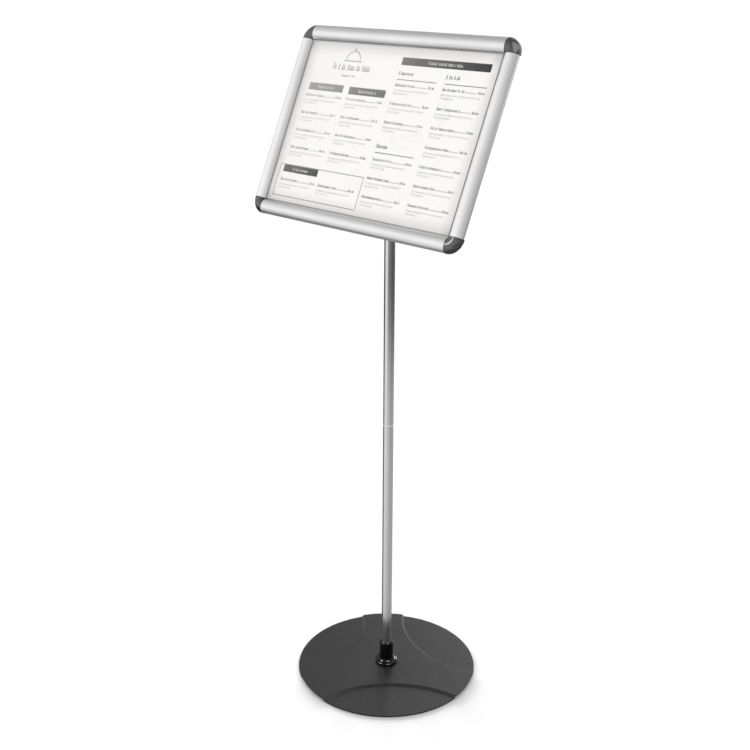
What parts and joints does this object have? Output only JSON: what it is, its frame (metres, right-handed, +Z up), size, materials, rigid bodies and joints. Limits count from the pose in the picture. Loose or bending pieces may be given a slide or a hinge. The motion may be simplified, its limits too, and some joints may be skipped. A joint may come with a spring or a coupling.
{
  "type": "sign stand",
  "caption": "Floor stand with a round pressed base, slim pole and tilting, turning snap frame that holds an A3 sheet.",
  "frame": {"origin": "on the floor under the rubber pads, on the pole's axis", "axes": "+Z up the pole, the sign faces -Y and leans back, +X to the right of a reader's view"},
  "size_m": [0.448, 0.326, 1.1346],
  "materials": {
    "base_paint": "charcoal fine-textured powder coat, satin",
    "pad_rubber": "matte black",
    "zinc_steel": "zinc plated, satin",
    "collar_plastic": "black, high gloss",
    "pole_aluminium": "satin anodised, fine lengthwise brush",
    "ring_nylon": "natural nylon",
    "head_paint": "black powder coat",
    "knob_plastic": "black, fine grain",
    "insert_brass": "turned",
    "plate_steel": "galvanised",
    "backing_board": "light grey hard foam board",
    "poster_paper": null,
    "window_clear": "clear, low glare",
    "rail_aluminium": "satin silver anodised",
    "spring_steel": "blued spring steel",
    "cap_plastic": "dark gun-metal, glossy"
  },
  "bodies": {
    "stand": {"base_plate": "base_paint", "floor_pads": "pad_rubber", "base_washer": "zinc_steel", "base_bolt": "zinc_steel", "base_collar": "collar_plastic", "pole_foot_insert": "zinc_steel", "lower_pole": "pole_aluminium", "lower_joint_insert": "zinc_steel", "joining_stud": "zinc_steel", "joint_ring": "ring_nylon", "upper_joint_insert": "zinc_steel", "upper_pole": "pole_aluminium", "pole_head": "head_paint", "head_set_screw": "zinc_steel"},
    "tilt_head": {"friction_washers": "ring_nylon", "tilt_bracket": "head_paint", "pivot_bolt": "zinc_steel", "swivel_washer": "ring_nylon", "swivel_spring_washer": "zinc_steel"},
    "knob": {"clamp_knob": "knob_plastic", "knob_insert": "insert_brass"},
    "sign": {"swivel_nut": "zinc_steel", "swivel_bolt": "zinc_steel", "swivel_stop_pin": "zinc_steel", "mounting_plate": "plate_steel", "plate_screws": "zinc_steel", "backing_panel": "backing_board", "poster_sheet": "poster_paper", "clear_window": "window_clear", "base_rail_bottom": "rail_aluminium", "base_rail_right": "rail_aluminium", "base_rail_top": "rail_aluminium", "base_rail_left": "rail_aluminium", "leaf_springs_bottom": "spring_steel", "leaf_springs_right": "spring_steel", "leaf_springs_top": "spring_steel", "leaf_springs_left": "spring_steel", "corner_keys": "zinc_steel", "corner_key_screws": "zinc_steel", "corner_cap_screws": "zinc_steel", "corner_cap_bottom_left": "cap_plastic", "corner_cap_bottom_right": "cap_plastic", "corner_cap_top_left": "cap_plastic", "corner_cap_top_right": "cap_plastic"},
    "cover_bottom": {"snap_cover_bottom": "rail_aluminium"},
    "cover_right": {"snap_cover_right": "rail_aluminium"},
    "cover_top": {"snap_cover_top": "rail_aluminium"},
    "cover_left": {"snap_cover_left": "rail_aluminium"}
  },
  "joints": [
    {"name": "head_tilt", "type": "hinge", "parent": "stand", "child": "tilt_head", "pos_m": [0, 0, 0.972], "axis": [-1, 0, 0], "range_deg": [-24.7, 65.3]},
    {"name": "knob_turn", "type": "hinge", "parent": "tilt_head", "child": "knob", "pos_m": [0.02, 0, 0.972], "axis": [1, 0, 0], "range_deg": [0, 270]},
    {"name": "sign_rotate", "type": "hinge", "parent": "tilt_head", "child": "sign", "pos_m": [0, -0.03316, 0.98725], "axis": [0, -0.9085, 0.4179], "range_deg": [0, 90]},
    {"name": "cover_bottom_open", "type": "hinge", "parent": "sign", "child": "cover_bottom", "pos_m": [0, -0.09689, 0.84056], "axis": [1, 0, 0], "range_deg": [0, 85]},
    {"name": "cover_right_open", "type": "hinge", "parent": "sign", "child": "cover_right", "pos_m": [0.2214, -0.03007, 0.98583], "axis": [0, 0.4179, 0.9085], "range_deg": [0, 85]},
    {"name": "cover_top_open", "type": "hinge", "parent": "sign", "child": "cover_top", "pos_m": [0, 0.03674, 1.1311], "axis": [-1, 0, 0], "range_deg": [0, 85]},
    {"name": "cover_left_open", "type": "hinge", "parent": "sign", "child": "cover_left", "pos_m": [-0.2214, -0.03007, 0.98583], "axis": [0, -0.4179, -0.9085], "range_deg": [0, 85]}
  ]
}
